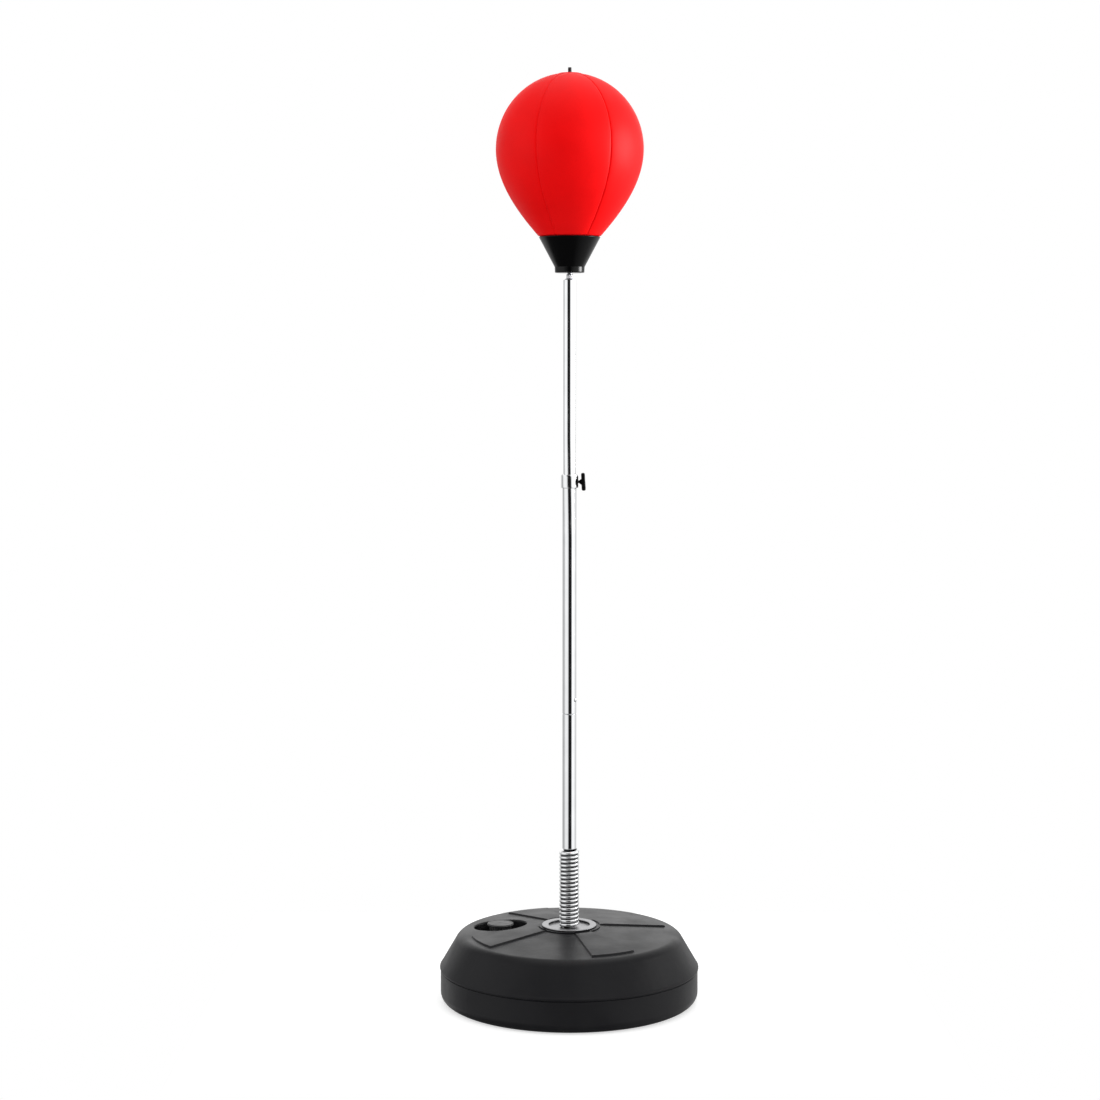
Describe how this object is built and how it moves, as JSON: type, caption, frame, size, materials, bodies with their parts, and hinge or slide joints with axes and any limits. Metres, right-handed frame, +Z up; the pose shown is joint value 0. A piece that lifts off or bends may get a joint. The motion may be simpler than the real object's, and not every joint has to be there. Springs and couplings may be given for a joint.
{
  "type": "freestanding reflex punching ball stand",
  "caption": "Freestanding punching ball: fillable round base, close-wound coil spring, height-adjustable chromed pole and a teardrop ball in a cup.",
  "frame": {"origin": "on the floor, under the centre of the base, on the axis of the pole", "axes": "+Z up the pole, +X towards the clamp knob, -Y towards the viewer; the filler cap is on the -X side"},
  "size_m": [0.4324, 0.4324, 1.54],
  "materials": {
    "tank_plastic": "fine moulded grain",
    "cap_plastic": "moulded, ribbed skirt",
    "cup_plastic": "semi-gloss moulded",
    "knob_plastic": "semi-gloss moulded",
    "black_rubber": "matt",
    "latex": "matt inner bladder",
    "ball_skin": "smooth coated synthetic leather",
    "chrome": "polished chrome plate",
    "flange_steel": "dull plated, grainy",
    "zinc_steel": "bright zinc plate",
    "spring_steel": "oiled spring steel",
    "brass": "turned",
    "black_steel": "black oxide"
  },
  "bodies": {
    "base": {"base_tank": "tank_plastic", "hub_flange": "flange_steel", "centre_bolt": "zinc_steel", "base_washer": "zinc_steel", "lock_washer": "spring_steel", "spring_stub": "zinc_steel"},
    "cap_seal": {"cap_seal": "black_rubber"},
    "fill_cap": {"fill_cap": "cap_plastic"},
    "spring": {"coil_spring": "chrome"},
    "pole": {"lower_tube": "chrome", "middle_tube": "chrome", "button_clip": "spring_steel", "clamp_collar": "chrome", "knob_boss": "knob_plastic"},
    "snap_button": {"snap_button": "zinc_steel"},
    "clamp_slug": {"pressure_slug": "brass"},
    "clamp_knob": {"knob_screw": "black_steel", "knob_handle": "knob_plastic"},
    "top": {"upper_tube": "chrome", "top_plug": "zinc_steel", "top_stud": "zinc_steel", "stud_washer": "zinc_steel", "stud_nut": "zinc_steel", "ball_cup": "cup_plastic", "anchor_disc": "zinc_steel", "ball_gore_1": "ball_skin", "ball_gore_2": "ball_skin", "ball_gore_3": "ball_skin", "ball_gore_4": "ball_skin", "ball_gore_5": "ball_skin", "ball_gore_6": "ball_skin", "top_patch": "ball_skin", "bladder": "latex", "valve_stem": "black_rubber"}
  },
  "joints": [
    {"name": "cap_rise", "type": "slide", "parent": "base", "child": "cap_seal", "axis": [0, 0, 1], "range_m": [0, 0.0111]},
    {"name": "cap_turn", "type": "hinge", "parent": "cap_seal", "child": "fill_cap", "pos_m": [-0.1157, 0.033, 0.11], "axis": [0, 0, 1], "range_deg": [0, 1000]},
    {"name": "spring_lean_front", "type": "hinge", "parent": "base", "child": "spring", "pos_m": [0, 0, 0.158], "axis": [1, 0, 0], "range_deg": [-25, 25], "stiffness_Nm_per_rad": 45, "deforming": ["coil_spring"]},
    {"name": "spring_lean_side", "type": "hinge", "parent": "spring", "child": "pole", "pos_m": [0, 0, 0.22], "axis": [0, 1, 0], "range_deg": [-25, 25], "stiffness_Nm_per_rad": 45, "deforming": ["coil_spring"]},
    {"name": "button_press", "type": "slide", "parent": "pole", "child": "snap_button", "axis": [-0.848, 0.5299, 0], "range_m": [0, 0.0034], "stiffness_N_per_m": 250, "deforming": ["button_clip"]},
    {"name": "slug_travel", "type": "slide", "parent": "pole", "child": "clamp_slug", "axis": [1, 0, 0], "range_m": [0, 0.0012]},
    {"name": "knob_turn", "type": "hinge", "parent": "clamp_slug", "child": "clamp_knob", "pos_m": [0.02, 0, 0.867], "axis": [1, 0, 0], "range_deg": [0, 545]},
    {"name": "height_slide", "type": "slide", "parent": "pole", "child": "top", "axis": [0, 0, 1], "range_m": [-0.24, 0]}
  ],
  "couplings": [
    {"joint": "cap_turn", "follows": "cap_rise", "rad_per_m": 1570.8},
    {"joint": "knob_turn", "follows": "slug_travel", "rad_per_m": 7854}
  ]
}
